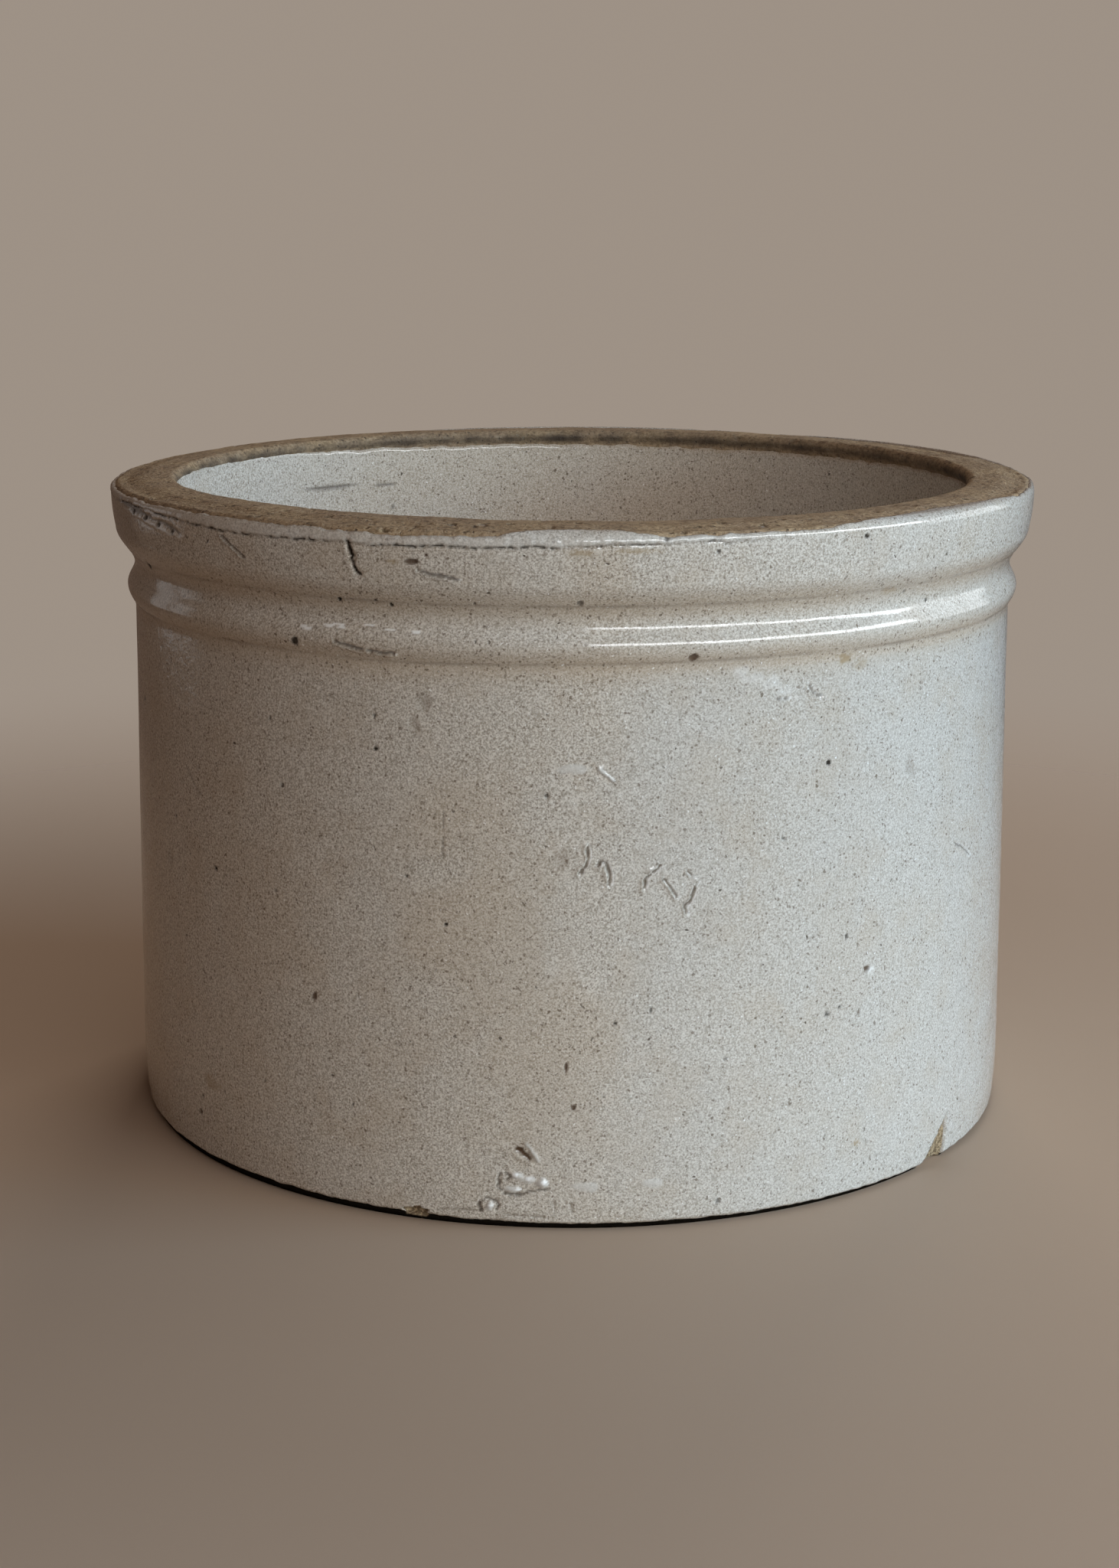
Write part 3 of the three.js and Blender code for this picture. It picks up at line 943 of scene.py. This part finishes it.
def glaze_material(name):
    """Speckled grey-beige stoneware glaze: fine grained, dotted with iron, with an orange-peel gloss."""
    s = Shader(name)
    dark, dark_tone = s.specks(3.1, 0.34, 0.15, 0.04)
    # Shade is painted shade, white partly painted highlights, black partly painted shadow under the foot,
    # and the dirt mark partly painted shade.
    colour = s.lay(glaze_colour(s, dark, dark_tone), [
        ("edge", 0.45, (0.3, 0.22, 0.15)),
        ("pale", 1, (0.66, 0.64, 0.6)), ("white", 1, (0.95, 0.95, 0.93)),
        ("tan", 1, (0.36, 0.27, 0.16)), ("shade", 0.75, (0.21, 0.17, 0.13)),
        ("rust", 1, (0.08, 0.045, 0.025)), ("dirt", 1, (0.07, 0.052, 0.036)),
        ("black", 1, (0.018, 0.013, 0.009)),
    ])
    peel = s.rest_of(s.mark("gloss"), 0.8)
    relief = s.bump(s.times(s.noise(2.6, 2, 0.5), peel), 0.12)
    relief = s.bump(s.times(s.noise(0.9, 1, 0.5), peel), 0.04, relief)
    relief = s.bump(s.times(dark, -1.0), 0.08, relief)
    roughness = s.fit(s.noise(5, 3, 0.6), 0.3, 0.7, 0.08, 0.17)
    for dull in ("dirt", "black"):
        roughness = s.calc("MAXIMUM", roughness, s.times(s.mark(dull), 0.7))
    gleam = s.fit(s.mark("black"), 0.4, 1, 1.5, 1.05)
    return s.finish(Base_Color=colour, Roughness=roughness, IOR=gleam, Normal=relief)


def clay_material(name):
    """Bare fired stoneware: tan and gritty on the rim, paler in fresh chips, painted shadow-black at the
    foot.
    """
    s = Shader(name)
    patches = s.noise(24, 3, 0.6)
    grain = s.noise(1.2, 3, 0.75)
    streaks = s.noise(1.3, 3, 0.7, s.turned(0.32))
    light = s.fit(grain, 0.3, 0.7)
    brown = s.mix(light, (0.205, 0.138, 0.083), (0.42, 0.3, 0.187))
    ochre = s.mix(light, (0.25, 0.17, 0.093), (0.48, 0.345, 0.207))
    colour = s.mix(s.fit(patches, 0.4, 0.62), brown, ochre)
    colour = s.mix(s.fit(streaks, 0.52, 0.7, 0, 0.7), colour, (0.11, 0.072, 0.042))
    colour = s.mix(s.fit(streaks, 0.46, 0.3, 0, 0.5), colour, (0.52, 0.42, 0.29))
    dark, tone = s.specks(1.2, 0.65, 0.4)
    colour = s.mix(s.times(dark, s.fit(tone, 0, 1, 0.3, 0.85)), colour, (0.07, 0.047, 0.032))
    pale, _ = s.specks(2.1, 0.3, 0.3)
    colour = s.mix(s.times(pale, 0.5), colour, (0.42, 0.35, 0.25))
    crumbs = s.fit(s.noise(0.9, 2, 0.7), 0.38, 0.62)
    broken = s.mix(crumbs, (0.15, 0.105, 0.058), (0.43, 0.33, 0.205))
    # The foot mark is painted shadow, near-black.
    colour = s.lay(colour, [
        ("chip", 1, broken), ("dirt", 0.85, (0.05, 0.034, 0.022)), ("foot", 1, (0.009, 0.007, 0.005)),
    ])
    relief = s.bump(grain, 0.35)
    relief = s.bump(streaks, 0.35, relief)
    relief = s.bump(s.times(dark, -1.0), 0.15, relief)
    roughness = s.fit(patches, 0.3, 0.7, 0.62, 0.85)
    gleam = s.fit(s.mark("foot"), 0, 1, 1.45, 1.05)
    return s.finish(Base_Color=colour, Roughness=roughness, IOR=gleam, Normal=relief)


def stone_material(name):
    """Weight stone: pale grey-buff stoneware with a thin dry glaze and iron specks."""
    s = Shader(name)
    clouds = s.noise(30, 3, 0.55)
    grain = s.noise(2.2, 3, 0.6)
    light = s.fit(grain, 0.3, 0.7)
    pale = s.mix(light, (0.46, 0.4, 0.31), (0.56, 0.49, 0.4))
    buff = s.mix(light, (0.36, 0.285, 0.2), (0.47, 0.385, 0.285))
    colour = s.mix(s.fit(clouds, 0.4, 0.62), pale, buff)
    dark, tone = s.specks(2.2, 0.45, 0.34)
    colour = s.mix(s.times(dark, s.fit(tone, 0, 1, 0.25, 0.8)), colour, (0.15, 0.095, 0.055))
    colour = s.lay(colour, [("dirt", 1, (0.1, 0.07, 0.045))])
    relief = s.bump(grain, 0.22)
    relief = s.bump(s.noise(0.8, 2, 0.6), 0.08, relief)
    roughness = s.fit(clouds, 0.3, 0.7, 0.45, 0.7)
    return s.finish(Base_Color=colour, Roughness=roughness, IOR=1.47, Normal=relief)


# ---- stage, lights and camera

def floor_material():
    """Pale beige near the crock, melting into the backdrop further out."""
    s = Shader("floor")
    body = s.node("BsdfPrincipled", {"Base Color": (0.46, 0.345, 0.255), "Roughness": 0.6})
    distance = s.node("VectorMath", {0: s.place}, operation="LENGTH").outputs["Value"]
    clear = s.node("BsdfTransparent")
    share = s.fit(distance, 1.7 * rim_radius, 5.2 * rim_radius)
    return s.output(s.node("MixShader", {0: share, 1: body.outputs[0], 2: clear.outputs[0]}))


def make_floor():
    reach = 9 * rim_radius
    mesh = bpy.data.meshes.new("floor")
    corners = [(-reach, -reach, 0), (reach, -reach, 0), (reach, reach, 0), (-reach, reach, 0)]
    mesh.from_pydata(corners, [], [(0, 1, 2, 3)])
    mesh.materials.append(floor_material())
    add_object("floor", mesh)


def area_light(name, azimuth, elevation, distance, size, power, colour, shine):
    """A panel facing the crock from a bearing and elevation. With shine it shows only as a reflection on
    glossy surfaces; without, it only lights them."""
    data = bpy.data.lights.new(name, "AREA")
    data.shape = "RECTANGLE"
    data.size, data.size_y = size
    data.energy = power
    data.color = colour
    light = add_object(name, data)
    light.visible_camera = False
    light.visible_diffuse = not shine
    light.visible_glossy = shine
    target = Vector((0, 0, 0.5 * rim_height))
    a, e = math.radians(azimuth), math.radians(elevation)
    away = Vector((math.sin(a) * math.cos(e), -math.cos(a) * math.cos(e), math.sin(e)))
    light.location = target + away * distance
    light.rotation_euler = (-away).to_track_quat("-Z", "Y").to_euler()


def make_lights():
    """Soft daylight from the front right, a weak fill from behind, and windows seen only in the gloss."""
    far, near = 1.8, 1.75
    width = 2 * far * math.tan(math.radians(14))
    soft_panels = [
        (20, 22, 7.6, (1.0, 0.955, 0.93)),
        (49, 22, 5.6, (1.0, 0.94, 0.89)),
        (78, 22, 15.4, (0.47, 0.73, 1.0)),
        (49, 7, 12.6, (0.64, 0.87, 1.0)),
        (168, 28, 12.5, (1.0, 0.93, 0.86)),
    ]
    for azimuth, elevation, power, colour in soft_panels:
        name = f"soft_panel_{azimuth}_{elevation}"
        area_light(name, azimuth, elevation, far, (width, 0.36), power, colour, False)
    daylight = (0.93, 0.97, 1.0)
    strip, pane = (width, 0.3), (0.13, 0.34)
    reflections = [
        (20, 23, near, strip, 10.5), (49, 22, near, strip, 10.5), (78, 21, near, strip, 10.5),
        (108, 17, 1.5, (1.0, 0.7), 4.0), (-108, 7, 0.8, pane, 0.07), (-119, 7, 0.8, pane, 0.06),
    ]
    for azimuth, elevation, distance, size, power in reflections:
        name = f"window_{azimuth}_{elevation}"
        area_light(name, azimuth, elevation, distance, size, power, daylight, True)


def make_world():
    """A dim warm room that lights the crock, and the plain backdrop that the camera sees instead."""
    world = bpy.data.worlds.new("room")
    world.use_nodes = True
    nodes, links = world.node_tree.nodes, world.node_tree.links
    room = nodes["Background"]
    room.inputs["Color"].default_value = (1.0, 0.675, 0.5, 1)
    room.inputs["Strength"].default_value = 0.1
    backdrop = nodes.new("ShaderNodeBackground")
    backdrop.inputs["Color"].default_value = (0.34, 0.285, 0.238, 1)
    choose = nodes.new("ShaderNodeMixShader")
    links.new(nodes.new("ShaderNodeLightPath").outputs["Is Camera Ray"], choose.inputs["Fac"])
    links.new(room.outputs[0], choose.inputs[1])
    links.new(backdrop.outputs[0], choose.inputs[2])
    links.new(choose.outputs[0], nodes["World Output"].inputs["Surface"])
    bpy.context.scene.world = world


def make_camera():
    """The photograph's viewpoint: about three rim diameters away, looking 13 degrees down."""
    distance, level = 5.914 * rim_radius, 2.0453 * rim_radius
    pitch, pan, roll = math.radians(13.03), math.radians(0.25), math.radians(0.11)
    data = bpy.data.cameras.new("camera")
    data.lens = 61.9
    camera = add_object("camera", data)
    turn = Matrix.Rotation(pan, 4, "Z") @ Matrix.Rotation(math.pi / 2 - pitch, 4, "X")
    camera.matrix_world = Matrix.Translation((0, -distance, level)) @ turn @ Matrix.Rotation(roll, 4, "Z")
    bpy.context.scene.camera = camera


# ---- putting it together

clay = make_clay()
clay.data.materials.append(clay_material("bare_clay"))
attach(clay, "crock")
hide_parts("crock_body")

glaze = glaze_material("speckled_glaze")
for coat_piece in (make_outside(), make_inside()):
    coat_piece.data.materials.append(glaze)
    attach(coat_piece, "crock")

stoneware = stone_material("weight_stoneware")
for side in ("left", "right"):
    stone = make_stone(f"{side}_weight_stone", f"weight_stone_{side}")
    stone.data.materials.append(stoneware)
    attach(stone, f"{side}_stone")
    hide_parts(f"weight_stone_{side}")

make_floor()
make_lights()
make_world()
make_camera()
bpy.context.scene.view_settings.view_transform = "Standard"
